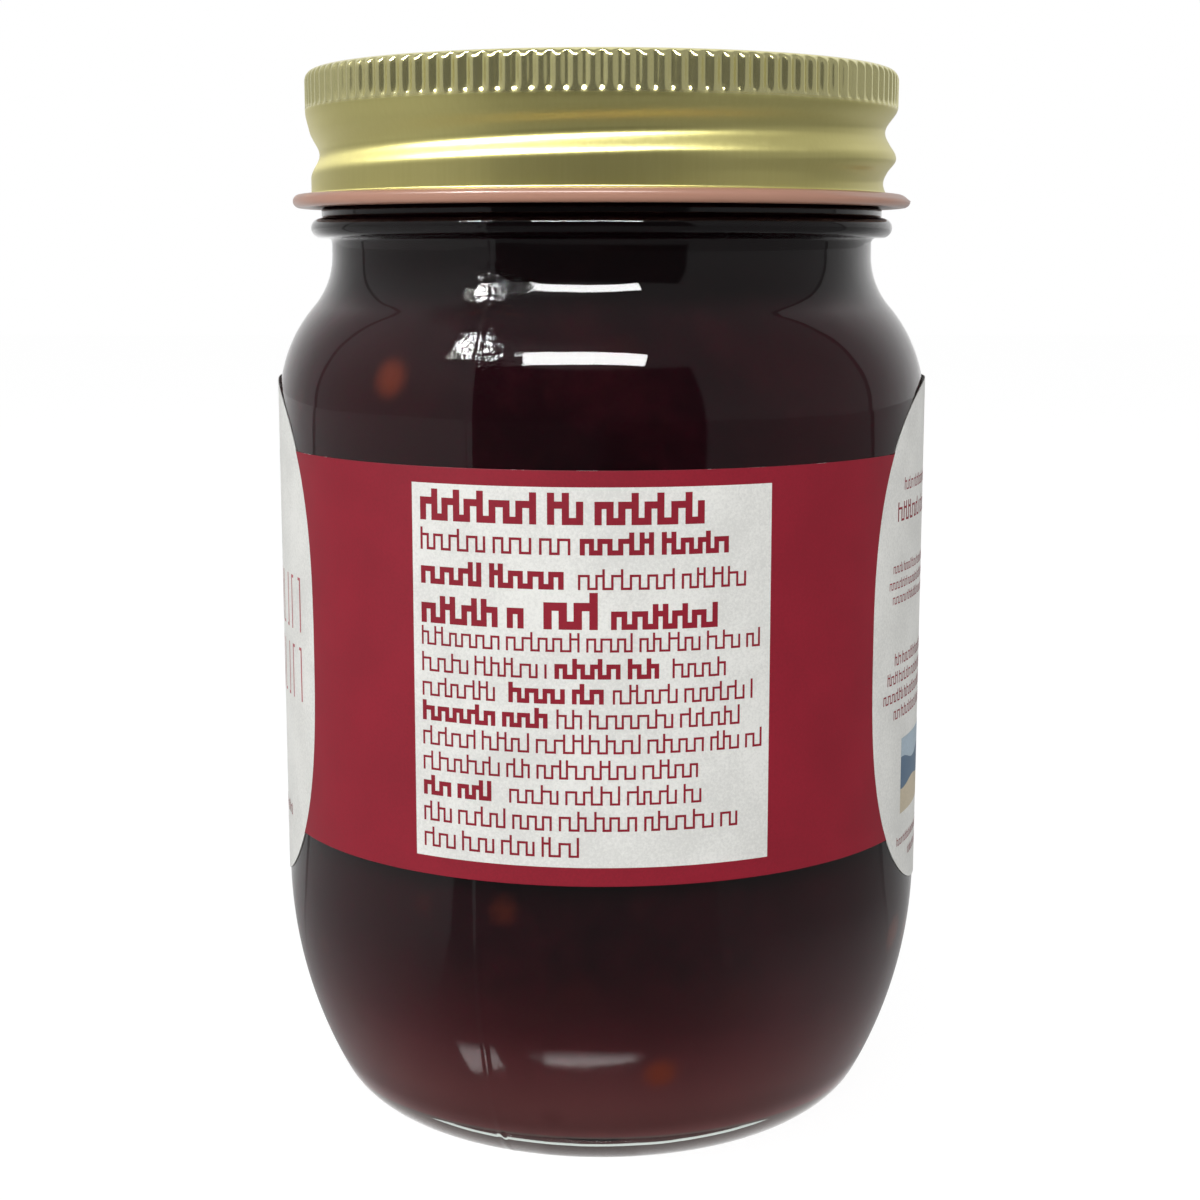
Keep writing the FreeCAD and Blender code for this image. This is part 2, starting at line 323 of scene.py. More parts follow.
def clear_glass():
    """Clear glass: a faint green where it is thick, and slow ripples from the mould that bend reflections. A
    thin upright seam stands where the mould parts, and the glass is rough beside it on the shoulder, where it
    chilled against the mould. Both lie by the distance from the upright plane through the seam."""
    finish = Finish("clear_glass")
    place = finish.place()
    ripple = finish.noise(place, 75.0, 1.5) * 0.92 + finish.noise(place, 260.0, 1.0) * 0.08
    normal = finish.bump(ripple, 0.45 * mm, 0.25)
    seam_turn = math.radians(seam_azimuth)
    sockets = {0: place, 1: (math.cos(seam_turn), math.sin(seam_turn), 0.0)}
    aside = abs(finish.node("ShaderNodeVectorMath", {"operation": "DOT_PRODUCT"}, sockets, out=1))
    height = finish.parts(place)[2]
    near = 1.0 - finish.step(aside, 0.0, 6.5 * mm)
    on_shoulder = finish.step(height, 93.0 * mm, 96.0 * mm)
    on_shoulder = on_shoulder * (1.0 - finish.step(height, 106.0 * mm, 108.0 * mm))
    chill = finish.noise(finish.stretch(place, (0.5, 0.5, 1.0)), 900.0, 3.0, 0.7)
    normal = finish.bump(chill * near * on_shoulder, 0.16 * mm, 1.0, normal)
    normal = finish.bump(1.0 - finish.step(aside, 0.0, 0.7 * mm), 0.06 * mm, 1.0, normal)
    glass = finish.node("ShaderNodeBsdfPrincipled", {}, {
        "Base Color": (1.0, 1.0, 1.0, 1.0),
        "Roughness": 0.0,
        "IOR": 1.52,
        "Transmission Weight": 1.0,
        "Normal": normal,
    })
    lamp = finish.node("ShaderNodeLightPath", {}, {}, out=1)
    passing = finish.node("ShaderNodeBsdfTransparent", {}, {"Color": (0.9, 0.92, 0.91, 1.0)})
    shader = finish.node("ShaderNodeMixShader", {}, {0: lamp, 1: glass, 2: passing})
    volume = finish.node("ShaderNodeVolumeAbsorption", {}, {"Color": glass_tint, "Density": 45.0})
    return finish.surface(shader, volume)


glass_azimuths = np.arange(256) * 360.0 / 256
glass_profile = glass_outline()
glass_grid = turned(glass_profile, glass_azimuths)
outer_finish = (np.abs(glass_profile[:, 0] - finish_radius) < 1e-7)[:, None]
thread = wound(glass_azimuths[None, :], glass_profile[:, 1:], lambda a: helix(a) + thread_pitch / 2,
               thread_half, thread_depth) * outer_finish
glass_grid[..., :2] *= (1 + thread / np.maximum(glass_profile[:, :1], mm))[..., None]
glass = closed_turning("jar_glass", glass_grid, [clear_glass()])
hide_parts("glass_jar")


# The sauce: a thick dark fruit sauce that fills the jar to a level under the lid, with bits of red and orange
# pepper and fruit pulp in it. It reaches just into the glass, so that no air shows between them.
sauce_reach = 0.15 * mm
sauce_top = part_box("sauce")[1].z
bit_rng = np.random.default_rng(11)


def sauce_finish():
    """Dark maroon, under one layer of colour after another: soft pulp, small shreds, painted light on the
    flanks, redder where side light would scatter through the sauce, the low part painted redder and paler
    where more light comes through from below, its underside, painted shade of the lid on the neck, and the
    orange and crimson bits that lie near the glass."""
    finish = Finish("sauce")
    place = finish.place()
    across, _, height = finish.parts(place)
    pulp = finish.step(finish.noise(place, 120.0, 4.0, 0.6), 0.35, 0.75)
    shred = finish.step(finish.noise(finish.stretch(place, (1.0, 1.0, 0.6)), 420.0, 3.0, 0.6), 0.55, 0.8)
    # Painted light: the sauce is redder towards both sides, where light from the side lamps would scatter
    # through it.
    side_light_flank = finish.step(abs(across), 8.0 * mm, 30.0 * mm)
    # Painted light: the low and lowest parts are redder and paler where more light comes through from below.
    low = 1.0 - finish.step(height, -4.0 * mm, 31.0 * mm)
    lowest = 1.0 - finish.step(height, 4.0 * mm, 20.0 * mm)
    under = 1.0 - finish.step(height, floor_z, floor_z + 0.4 * mm)
    # Painted shade: the neck is darkened where the lid shades it.
    shaded = finish.step(height, 98.5 * mm, 102.5 * mm)
    colour = (0.0135, 0.0014, 0.0036, 1.0)
    for share, tone in (
        (pulp * 0.7, (0.036, 0.0036, 0.0078, 1.0)),
        (shred * 0.14, (0.055, 0.010, 0.009, 1.0)),
        (side_light_flank * 0.8, (0.036, 0.0026, 0.0066, 1.0)),
        (low * 0.9, (0.21, 0.034, 0.043, 1.0)),
        (lowest * 0.6, (0.23, 0.085, 0.080, 1.0)),
        (under * 0.8, (0.12, 0.10, 0.09, 1.0)),
        (shaded * 0.8, (0.0022, 0.0012, 0.0014, 1.0)),
        (finish.attribute("orange"), (0.25, 0.040, 0.015, 1.0)),
        (finish.attribute("crimson"), (0.075, 0.008, 0.008, 1.0)),
    ):
        colour = finish.mix(share, colour, tone)
    shader = finish.node("ShaderNodeBsdfPrincipled", {}, {
        "Base Color": colour,
        "Roughness": 0.6,
        "Specular IOR Level": 0.0,
    })
    return finish.surface(shader)


def soft_spots(points, count, low, high, rng, shown):
    """Soft round spots near the wall: those shown in front, as (azimuth, height, radius, share), and a count
    of others at random places round the sides and back. Gives for each point the strongest of the bells
    share * exp(-(distance / radius)^4) about the spots."""
    strength = np.zeros(len(points))
    spots = [(rng.uniform(60, 300), rng.uniform(0.1, 0.8) * sauce_top, rng.uniform(low, high), 1.0)
             for _ in range(count)]
    for azimuth, z, radius, share in list(shown) + spots:
        level = np.abs(points[:, 2] - z) < 4 * radius
        near = points[level]
        reach = np.median(np.hypot(near[:, 0], near[:, 1])) if len(near) else body_radius
        turn = math.radians(azimuth)
        centre = np.array([reach * math.sin(turn), -reach * math.cos(turn), z])
        distance = np.linalg.norm(near - centre, axis=1)
        strength[level] = np.maximum(strength[level], share * np.exp(-(distance / radius) ** 4))
    return strength


sauce_low = floor_z - sauce_reach
sauce_radius = body_radius - wall + sauce_reach
sauce_neck = bore + sauce_reach
sauce_profile = np.concatenate([
    [(0, sauce_low)],
    run((8 * mm, sauce_low), (22 * mm, sauce_low), 5),
    lower_wall(wall - sauce_reach, sauce_low, floor_arc, 16),
    run((sauce_radius, heel_top + 1.0 * mm), (sauce_radius, shoulder_z), 50),
    shoulder(wall - sauce_reach, 12),
    run((sauce_neck, sauce_top - 11.0 * mm), (sauce_neck, sauce_top), 8),
    run((sauce_neck, sauce_top), (0, sauce_top), 4),
    [(0, sauce_top)],
])
sauce_grid = turned(sauce_profile, glass_azimuths)
sauce = closed_turning("sauce_fill", sauce_grid, [sauce_finish()])
sauce_points = closed_points(sauce_grid)
shown_bits = ((-38.2, 92.7 * mm, 2.0 * mm, 1.0), (-16.7, 33.6 * mm, 1.5 * mm, 0.36),
              (10.8, 13.9 * mm, 1.9 * mm, 1.0))
shown_shreds = ((-32.0, 33.4 * mm, 1.2 * mm, 1.0), (-10.0, 8.5 * mm, 1.8 * mm, 1.0),
                (24.0, 22.0 * mm, 2.4 * mm, 0.6), (-4.0, 24.0 * mm, 2.2 * mm, 0.4),
                (4.0, 96.0 * mm, 2.0 * mm, 0.5), (-52.0, 18.0 * mm, 2.2 * mm, 1.0))
carry(sauce, "orange", 0.8 * soft_spots(sauce_points, 12, 1.0 * mm, 2.0 * mm, bit_rng, shown_bits))
carry(sauce, "crimson", 0.35 * soft_spots(sauce_points, 40, 0.8 * mm, 2.6 * mm, bit_rng, shown_shreds))
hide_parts("sauce")


# The lid: tinplate pressed to a one-piece screw lid, with gold lacquer outside and a pale pink lining inside
# that shows where the edge is rolled out into the curl. Flutes are pressed into its knurled band and a thread
# groove is rolled into its skirt.
lid_low, lid_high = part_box("lid")
sheet = 0.35 * mm
skirt_radius = lid_high.x - 2.3 * mm
knurl_radius = skirt_radius + 0.6 * mm
lid_top = lid_high.z
knurl_low = lid_top - 4.6 * mm
lid_corner = 1.2 * mm
groove_rise, groove_half, groove_depth = 0.2 * mm, 2.85 * mm, 1.06 * mm
bulge_half, bulge_height = 1.6 * mm, 0.45 * mm
curl_half = 0.8 * mm
flare = 0.3 * mm
flare_rows = 6
curl_z = lid_low.z + curl_half
flutes = 120
flute_steps = 9


def lid_outline():
    """The profile of the lid from the middle of its top, over the outside and round the curl, then up the
    inside and back to the middle, in three lists of points: the gold outside, the curl and the inside. Below
    the knurl the radius falls to the skirt's as half a cosine wave."""
    sunk = lid_top - 0.8 * mm
    panel = bore - 1.5 * mm
    curl_r = lid_high.x - curl_half
    inner = skirt_radius - sheet
    outside = np.concatenate([
        [(0, sunk)],
        run((panel * 0.5, sunk), (panel - 1.1 * mm, sunk), 2),
        arc((panel - 1.1 * mm, sunk + 0.4 * mm), 0.4 * mm, -math.pi / 2, -math.pi / 4, 3),
        arc((panel + 0.3 * mm, lid_top - 0.4 * mm), 0.4 * mm, 3 * math.pi / 4, math.pi / 2, 3),
        run((panel + 2.0 * mm, lid_top), (knurl_radius - lid_corner, lid_top), 2),
        arc((knurl_radius - lid_corner, lid_top - lid_corner), lid_corner, math.pi / 2, 0, 8)[:-1],
        run((knurl_radius, lid_top - lid_corner), (knurl_radius, knurl_low), 9),
    ])
    share = np.linspace(0, 1, 10)
    taper = np.stack([
        knurl_radius - (knurl_radius - skirt_radius) * (0.5 - 0.5 * np.cos(math.pi * share)),
        knurl_low - 3.6 * mm * share,
    ], 1)
    skirt_low = curl_z + curl_half + flare
    skirt = run((skirt_radius, taper[-1, 1] - 0.2 * mm), (skirt_radius, skirt_low), 24)
    flared = arc((skirt_radius + flare, skirt_low), flare, math.pi, 1.5 * math.pi, flare_rows)
    curl = arc((curl_r, curl_z), curl_half, math.pi / 2, -math.pi / 2, 11)
    back = np.concatenate([
        [(inner + 0.5 * mm, lid_low.z), (inner, lid_low.z + 0.5 * mm)],
        run((inner, curl_z), (inner, lid_top - 2.5 * sheet), 9),
        [(inner - sheet, lid_top - sheet), (panel + sheet, lid_top - sheet)],
        [(panel - 0.8 * mm, sunk - sheet), (0, sunk - sheet)],
    ])
    return np.concatenate([outside, taper, skirt, flared]), curl, back


def flute_dents(azimuth, z):
    """Depth of the flutes at each azimuth and height. Round the lid it goes as ((1 + cos) / 2)^1.4, so that
    the ridges between them are rounded too. Towards the top it runs out as sqrt(1 - above^2), where above
    grows from 0 to 1 over the last 0.8 mm, and towards the bottom in the same way over 1.5 mm."""
    depth, high, low = 0.42 * mm, lid_top - 0.35 * mm, lid_top - 4.5 * mm
    wave = (0.5 + 0.5 * np.cos(2 * math.pi * azimuth / 360.0 * flutes)) ** 1.4
    above = np.clip((z - high) / (0.8 * mm) + 1, 0, 1)
    below = np.clip((low - z) / (1.5 * mm) + 1, 0, 1)
    return depth * wave * np.sqrt((1 - above ** 2) * (1 - below ** 2))


def gold_lacquer():
    """Gold lacquer over bright tinplate, with fine upright rolling streaks, and the pink lining where the
    point's lining value passes a half, with a slightly wavy edge between them. The flutes are smoother than
    the rest, and painted paler, a painted sheen that makes the knurled band read brighter."""
    finish = Finish("gold_lacquer")
    place = finish.place()
    streak = finish.noise(finish.stretch(place, (1.0, 1.0, 0.045)), 2400.0, 3.0, 0.65)
    cloud = finish.noise(place, 55.0, 2.0)
    wave = finish.noise(finish.stretch(place, (1.0, 1.0, 0.0)), 170.0, 2.0) - 0.5
    lining = finish.step(finish.attribute("lining") + wave * 0.35, 0.46, 0.54)
    gold = finish.mix(streak * 0.5 + cloud * 0.35, (0.73, 0.655, 0.235, 1.0), (0.85, 0.785, 0.325, 1.0))
    fluted = finish.step(finish.parts(place)[2], knurl_low - 0.3 * mm, knurl_low + 0.3 * mm)
    # Painted sheen: the flutes are painted a paler gold so that the knurled band reads brighter.
    gold = finish.mix(fluted * 0.6, gold, (0.94, 0.90, 0.50, 1.0))
    colour = finish.mix(lining, gold, (0.49, 0.255, 0.180, 1.0))
    rough = (0.28 + streak * 0.12 * (1.0 - lining)) * (1.0 - fluted * 0.5)
    shader = finish.node("ShaderNodeBsdfPrincipled", {}, {
        "Base Color": colour,
        "Metallic": 0.9 * (1.0 - lining),
        "Roughness": rough,
        "Anisotropic": 0.75,
        "Coat Weight": 0.15,
        "Coat Roughness": 0.12,
        "Normal": finish.bump(streak, 0.02 * mm, 0.6),
    })
    return finish.surface(shader)


lid_azimuths = np.arange(flutes * flute_steps) * 360.0 / (flutes * flute_steps)
gold_rows, curl_rows, back_rows = lid_outline()
lid_profile = np.concatenate([gold_rows, curl_rows, back_rows])
lid_z = lid_profile[:, 1:]
outer_row = (np.arange(len(lid_profile)) < len(gold_rows))[:, None]
on_skirt = (lid_z < knurl_low + 0.2 * mm) & (lid_z > curl_z)
round_lid = lid_azimuths[None, :]
rolled = wound(round_lid, lid_z, lambda a: helix(a) + groove_rise, groove_half, groove_depth) * on_skirt
between = np.clip(1 - np.abs(lid_z - (helix(round_lid) - thread_pitch / 2)) / bulge_half, 0, 1)
both_turns = np.clip((80.0 - np.abs(round_lid - 90.0)) / 45.0, 0, 1)
bulge = bulge_height * between ** 2 * (3 - 2 * between) * both_turns * on_skirt
on_knurl = outer_row & (lid_profile[:, :1] > knurl_radius - lid_corner)
dents = flute_dents(round_lid, lid_z) * on_knurl
lid_grid = turned(lid_profile, lid_azimuths)
lid_grid[..., :2] *= (1 + (bulge - rolled - dents) / np.maximum(lid_profile[:, :1], mm))[..., None]
# The profile runs down the outside, so its rows are turned round for faces that point out.
lid = closed_turning("screw_lid", lid_grid[::-1], [gold_lacquer()])
lining = np.concatenate([
    np.zeros(len(gold_rows) - flare_rows),
    np.linspace(0.0, 0.45, flare_rows),
    np.linspace(0.55, 1.0, len(curl_rows)),
    np.ones(len(back_rows)),
])
lining_rows = np.repeat(lining[-2:0:-1], len(lid_azimuths))
carry(lid, "lining", np.concatenate([[1.0], lining_rows, [0.0]]))
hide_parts("lid")


# The label: one strip of coated paper cut to a band with a tall rounded panel on each side, glued round the
# body with its ends lapped behind. It is printed deep red, with the panels and a table left white.
label_low, label_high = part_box("label")
paper = 0.115 * mm
label_z = (label_low.z + label_high.z) / 2
panel_half_height = (label_high.z - label_low.z) / 2
panel_half_width = 24.75 * mm
panel_power = 2.85
band_half = 23.2 * mm
label_turn = -2.9
label_round = 2 * math.pi * (body_radius + paper)
glue_radius = body_radius + 0.01 * mm
table_left, table_right = -22.1 * mm, 19.45 * mm
table_low, table_high = -21.05 * mm, 21.4 * mm
lap_reach = 3.0 * mm


def panel_edge(height):
    """Half width of a panel at a height from its middle: the superellipse |s/a|^n + |z/b|^n = 1."""
    share = np.clip(1 - np.abs(height / panel_half_height) ** panel_power, 0, 1)
    return panel_half_width * share ** (1 / panel_power)


def on_label(along, height, out=0.0):
    """Points on the label from the distance round it, from azimuth 0 towards +X, and the height from the
    label's middle. The lap behind stands a paper's thickness out: it rises slowly on one side, where the
    upper end lies down over the lower one, and drops at once at its cut edge."""
    radius = glue_radius + paper + out
    turn = along / (body_radius + paper)
    from_lap = (turn - math.radians(180 + label_turn) + math.pi) % (2 * math.pi) - math.pi
    from_lap = from_lap * body_radius
    rise = np.clip((from_lap + 3 * lap_reach) / (2 * lap_reach), 0, 1) * (from_lap < lap_reach)
    radius = radius + paper * rise
    z = np.broadcast_to(label_z + height, turn.shape)
    return np.stack([radius * np.sin(turn), -radius * np.cos(turn), z], -1)


def paper_finish(name, ink):
    """Coated paper with printing ink on it: fine fibres under the coat, and an ink that is uneven by about a
    tenth. On bare paper the ink is the paper's own colour."""
    finish = Finish(name)
    place = finish.place()
    fibre = finish.noise(place, 3200.0, 3.0, 0.7)
    cloud = finish.noise(place, 140.0, 2.0)
    shade = fibre * 0.6 + cloud * 0.4
    darker = tuple(0.90 * c for c in ink[:3]) + (1.0,)
    lighter = tuple(min(1.0, 1.08 * c) for c in ink[:3]) + (1.0,)
    shader = finish.node("ShaderNodeBsdfPrincipled", {}, {
        "Base Color": finish.mix(finish.step(shade, 0.35, 0.65), darker, lighter),
        "Roughness": 0.42 + fibre * 0.15,
        "Specular IOR Level": 0.3,
        "Normal": finish.bump(fibre, 0.02 * mm, 0.5),
    })
    return finish.surface(shader)


def core_finish():
    """The cut edge of the paper: on the band mostly stained by the ink, with white flecks of bare core, and
    on the panels grey, a painted shade for the dark line where the panels' edges stand off the glass."""
    finish = Finish("paper_edge")
    place = finish.place()
    fleck = finish.noise(finish.stretch(place, (1.0, 1.0, 0.1)), 330.0, 3.0, 0.7)
    colour = finish.mix(finish.step(fleck, 0.56, 0.60), (0.20, 0.012, 0.022, 1.0), (0.86, 0.86, 0.84, 1.0))
    off_band = abs(finish.parts(place)[2] - label_z)
    # Painted shade: the panels' cut edge is grey rather than white paper, for the dark line along them.
    on_panel = finish.step(off_band, band_half + 0.1 * mm, band_half + 0.3 * mm)
    colour = finish.mix(on_panel, colour, (0.55, 0.55, 0.53, 1.0))
    shader = finish.node("ShaderNodeBsdfPrincipled", {}, {"Base Color": colour, "Roughness": 0.7})
    return finish.surface(shader)


def label_patches():
    """The label as four grids that share their edges: two panels, and the band in front and behind. A row
    is one height. Gives points, faces and the finish of each face: 0 for the red ink, 1 for bare paper."""
    widths = np.sin(np.linspace(0, math.pi / 2, 26)[:-1]) * panel_edge(band_half) / panel_half_width
    cap = panel_half_height * (1 - widths ** panel_power) ** (1 / panel_power)
    band = np.linspace(-band_half, band_half, 31)
    soft = 0.05 * mm
    band = np.sort(np.append(band, [table_low, table_high, soft - band_half, band_half - soft]))
    rows = np.concatenate([-cap, band, cap[::-1]])
    in_band = np.abs(rows) < band_half + 1e-9
    quarter, turn = label_round / 4, label_round * label_turn / 360
    points, faces, picks = [], [], []

    def add(along, height, pick):
        """Adds one grid of points and faces, all of one finish or each of its own."""
        count = sum(len(p) for p in points)
        points.append(on_label(along, height).reshape(-1, 3))
        made = grid_faces(*along.shape, False) + count
        faces.append(made)
        picks.append(np.broadcast_to(pick, (along.shape[0] - 1, along.shape[1] - 1)).ravel())

    across = np.sort(np.append(np.linspace(-1, 1, 47), [-0.998, 0.998]))
    for side in (-1, 1):
        middle = side * quarter + turn
        along = middle + panel_edge(rows)[:, None] * across[None, :]
        add(along, np.broadcast_to(rows[:, None], along.shape), 1)
    height = rows[in_band]
    start = (-quarter + turn + panel_edge(height))[:, None]
    end = (quarter + turn - panel_edge(height))[:, None]
    share = np.linspace(0, 1, 22)[None, :]
    front = np.concatenate([
        start + (table_left - start) * share,
        table_left + (table_right - table_left) * np.linspace(0, 1, 46)[None, 1:-1] + 0 * start,
        table_right + (end - table_right) * share,
    ], 1)
    column = (front[:-1, :-1] + front[1:, 1:]) / 2
    row = (height[:-1] + height[1:])[:, None] / 2
    bare = (column > table_left) & (column < table_right) & (row > table_low) & (row < table_high)
    add(front, np.broadcast_to(height[:, None], front.shape), bare.astype(int))
    lap = label_round / 2 + turn + lap_reach
    start = (quarter + turn + panel_edge(height))[:, None]
    end = (3 * quarter + turn - panel_edge(height))[:, None]
    step = 0.04 * mm
    back = np.concatenate([
        start + (lap - step - start) * np.linspace(0, 1, 36)[None, :],
        lap + step + (end - lap - step) * np.linspace(0, 1, 36)[None, :],
    ], 1)
    add(back, np.broadcast_to(height[:, None], back.shape), 0)
    return np.concatenate(points), np.concatenate(faces), np.concatenate(picks)


label_red = (0.288, 0.0063, 0.0222, 1.0)
label_white = (0.80, 0.80, 0.765, 1.0)
red_print = paper_finish("label_red", label_red)
label_points, label_faces, label_picks = label_patches()
label = piece("paper_label", label_points, label_faces.tolist(),
              [red_print, paper_finish("label_white", label_white), core_finish()], label_picks)
weld = label.modifiers.new("weld", "WELD")
weld.merge_threshold = 0.004 * mm
thick = label.modifiers.new("thickness", "SOLIDIFY")
thick.thickness = paper
thick.offset = -1.0
thick.material_offset_rim = 2
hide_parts("label")


# The print: what stands on the paper is only rows of stepped lines of ink, in the sizes and weights of a
# printed table and captions, with a plain cluster of berries and a banded landscape. They spell nothing.
ink_lift = 0.015 * mm
print_rng = np.random.default_rng(5)
LIGHT, HEAVY = 0.115, 0.225


def stepped_row(left, baseline, width, cap, weight):
    """Bars that stand in for a run of print, as rows of (left, low, width, height): in each word one line
    steps up and down between the baseline and the low height, and some of its uprights go up to the cap."""
    bars = []
    low_cap = 0.73 * cap
    stroke = weight * cap
    gap = (0.30 if weight < 0.2 else 0.20) * cap
    at, steps, top = left, int(print_rng.integers(4, 14)), True
    while at + stroke < left + width:
        high = cap if print_rng.random() < 0.3 else low_cap
        bars.append((at, baseline, stroke, high))
        at += stroke
        steps -= 1
        across = gap * print_rng.uniform(0.7, 1.25)
        if steps > 0 and at + across + stroke < left + width:
            bars.append((at, baseline + (low_cap - stroke if top else 0.0), across, stroke))
            at += across
            top = not top
        else:
            at += 0.34 * cap
            steps, top = int(print_rng.integers(4, 14)), True
    return bars


def print_piece(name, along, height, faces, finish):
    """A flat piece of ink on the label, from its points' distances round it and heights, and its faces."""
    piece(name, on_label(along, height, ink_lift), faces.tolist(), [finish])


def bar_print(name, bars, finish):
    """Flat bars of ink from rows of (left, low, width, height), four points each."""
    left, low, wide, high = (np.array(bars)[:, k][:, None] for k in range(4))
    along = left + wide * np.array([0, 1, 1, 0])
    height = low + high * np.array([0, 0, 1, 1])
    print_piece(name, along, height, np.arange(4 * len(bars)).reshape(-1, 4), finish)


# Each row of the table: how far its baseline is below the last, and its runs as (weight, width, cap height).
# Lengths are in millimetres, and a weight is a stroke's share of the cap height.
table_rows = (
    (4.1, ((HEAVY, 19.4, 3.5), (HEAVY, 13.2, 3.5))),
    (3.3, ((LIGHT, 17.8, 2.5), (HEAVY, 17.2, 2.5))),
    (3.8, ((HEAVY, 17.6, 2.7), (LIGHT, 19.2, 2.3))),
    (4.4, ((HEAVY, 13.8, 3.1), (HEAVY, 6.6, 4.1), (HEAVY, 12.8, 2.8))),
    (2.5, ((LIGHT, 39.4, 2.15),)),
    (3.0, ((LIGHT, 15.0, 2.2), (HEAVY, 12.2, 2.3), (LIGHT, 6.2, 2.2))),
    (2.8, ((LIGHT, 9.8, 2.2), (HEAVY, 10.8, 2.3), (LIGHT, 16.6, 2.2))),
    (2.8, ((HEAVY, 15.2, 2.3), (LIGHT, 21.2, 2.2))),
    (2.8, ((LIGHT, 39.6, 2.2),)),
    (2.9, ((LIGHT, 32.6, 2.2),)),
    (2.9, ((HEAVY, 9.8, 2.3), (LIGHT, 22.4, 2.2))),
    (3.0, ((LIGHT, 37.3, 2.3),)),
    (3.0, ((LIGHT, 18.6, 2.3),)),
)


def table_bars():
    """The table's rows: each sets its baseline a drop below the last, and has its runs of print side by side
    with a space between them."""
    bars = []
    baseline = table_high
    for drop, runs in table_rows:
        baseline -= drop * mm
        left = table_left + 1.1 * mm
        for weight, width, cap in runs:
            bars += stepped_row(left, baseline, width * mm, cap * mm, weight)
            left += (width + 0.8) * mm
    return bars


bar_print("table_print", table_bars(), red_print)

left_middle = (-0.25 + label_turn / 360) * label_round
right_middle = (0.25 + label_turn / 360) * label_round


def centred_rows(middle, rows):
    """Rows of light print about a middle line, from (baseline, width, cap height) in millimetres."""
    bars = []
    for baseline, width, cap in rows:
        bars += stepped_row(middle - width * mm / 2, baseline * mm, width * mm, cap * mm, LIGHT)
    return bars


right_rows = (
    (18.7, 34, 1.5), (15.1, 38, 2.3),
    (9.0, 40, 1.2), (7.1, 42, 1.2), (5.3, 40, 1.2),
    (-2.2, 38, 1.5), (-4.4, 42, 1.5), (-6.6, 44, 1.5), (-8.8, 38, 1.5),
    (-24.9, 34, 1.1), (-27.0, 24, 1.1),
)
left_rows = ((-22.5, 30, 1.5), (-25.0, 18, 1.3))
captions = centred_rows(right_middle, right_rows) + centred_rows(left_middle, left_rows)
bar_print("caption_print", captions, red_print)


def title_bars():
    """Two rows of tall thin uprights joined in pairs, set wide across the left panel."""
    bars = []
    stroke, cap, pair, pitch = 0.36 * mm, 6.6 * mm, 3.4 * mm, 5.4 * mm
    for baseline in (1.5 * mm, -7.0 * mm):
        for k in range(-4, 4):
            at = left_middle + (k + 0.15) * pitch
            bars += [(at, baseline, stroke, cap), (at + pair, baseline, stroke, cap)]
            bars.append((at + stroke, baseline + (cap - stroke) * (k % 2), pair - stroke, stroke))
    return bars


bar_print("title_print", title_bars(), paper_finish("title_ink", (0.50, 0.11, 0.13, 1.0)))


def disc_print(name, spots, finish, sides=24):
    """Flat oval spots of ink from rows of (middle, height, half width, half height, tilt): the ellipse of the
    two halves, turned by the tilt."""
    middle, height, wide, high, tilt = (np.array(spots)[:, k][:, None] for k in range(5))
    turn = (2 * math.pi * np.arange(sides) / sides)[None, :]
    x, z = wide * np.cos(turn), high * np.sin(turn)
    along = middle + x * np.cos(tilt) - z * np.sin(tilt)
    height = height + x * np.sin(tilt) + z * np.cos(tilt)
    print_piece(name, along, height, np.arange(sides * len(spots)).reshape(-1, sides), finish)


berry_spots = [(left_middle + x * mm, z * mm, 1.9 * mm, 1.9 * mm, 0.0)
               for x, z in ((-4.2, 14.6), (0.0, 13.6), (4.2, 14.6), (-2.1, 17.6), (2.1, 17.6))]
leaf_spots = [(left_middle + x * mm, z * mm, 2.9 * mm, 1.1 * mm, t)
              for x, z, t in ((-5.2, 20.6, 2.6), (5.2, 20.6, 0.54), (0.0, 21.8, 1.57))]
disc_print("berry_print", berry_spots, paper_finish("berry_ink", (0.22, 0.012, 0.05, 1.0)))
disc_print("leaf_print", leaf_spots, paper_finish("leaf_ink", (0.10, 0.17, 0.06, 1.0)))


def landscape(name, low, high, finish):
    """A band of a landscape across the right panel, between two lines given as (height, size of the wave) in
    millimetres from the panel's middle. Each line is a sine with three waves over the width."""
    share = np.linspace(-1, 1, 49)
    base, wave = np.array([low, high]).T[..., None]
    height = (base + wave * np.sin(3.0 * math.pi * share + base)) * mm
    along = np.broadcast_to(right_middle + 16.0 * mm * share, height.shape)
    print_piece(name, along, height, grid_faces(2, len(share), False), finish)


foot_line, shore, horizon, top_line = (-21.0, 0.0), (-17.6, 0.35), (-14.4, 0.5), (-11.6, 0.0)
landscape("sky_print", horizon, top_line, paper_finish("sky_ink", (0.42, 0.52, 0.60, 1.0)))
landscape("water_print", shore, horizon, paper_finish("water_ink", (0.10, 0.17, 0.26, 1.0)))
landscape("sand_print", foot_line, shore, paper_finish("sand_ink", (0.60, 0.52, 0.38, 1.0)))
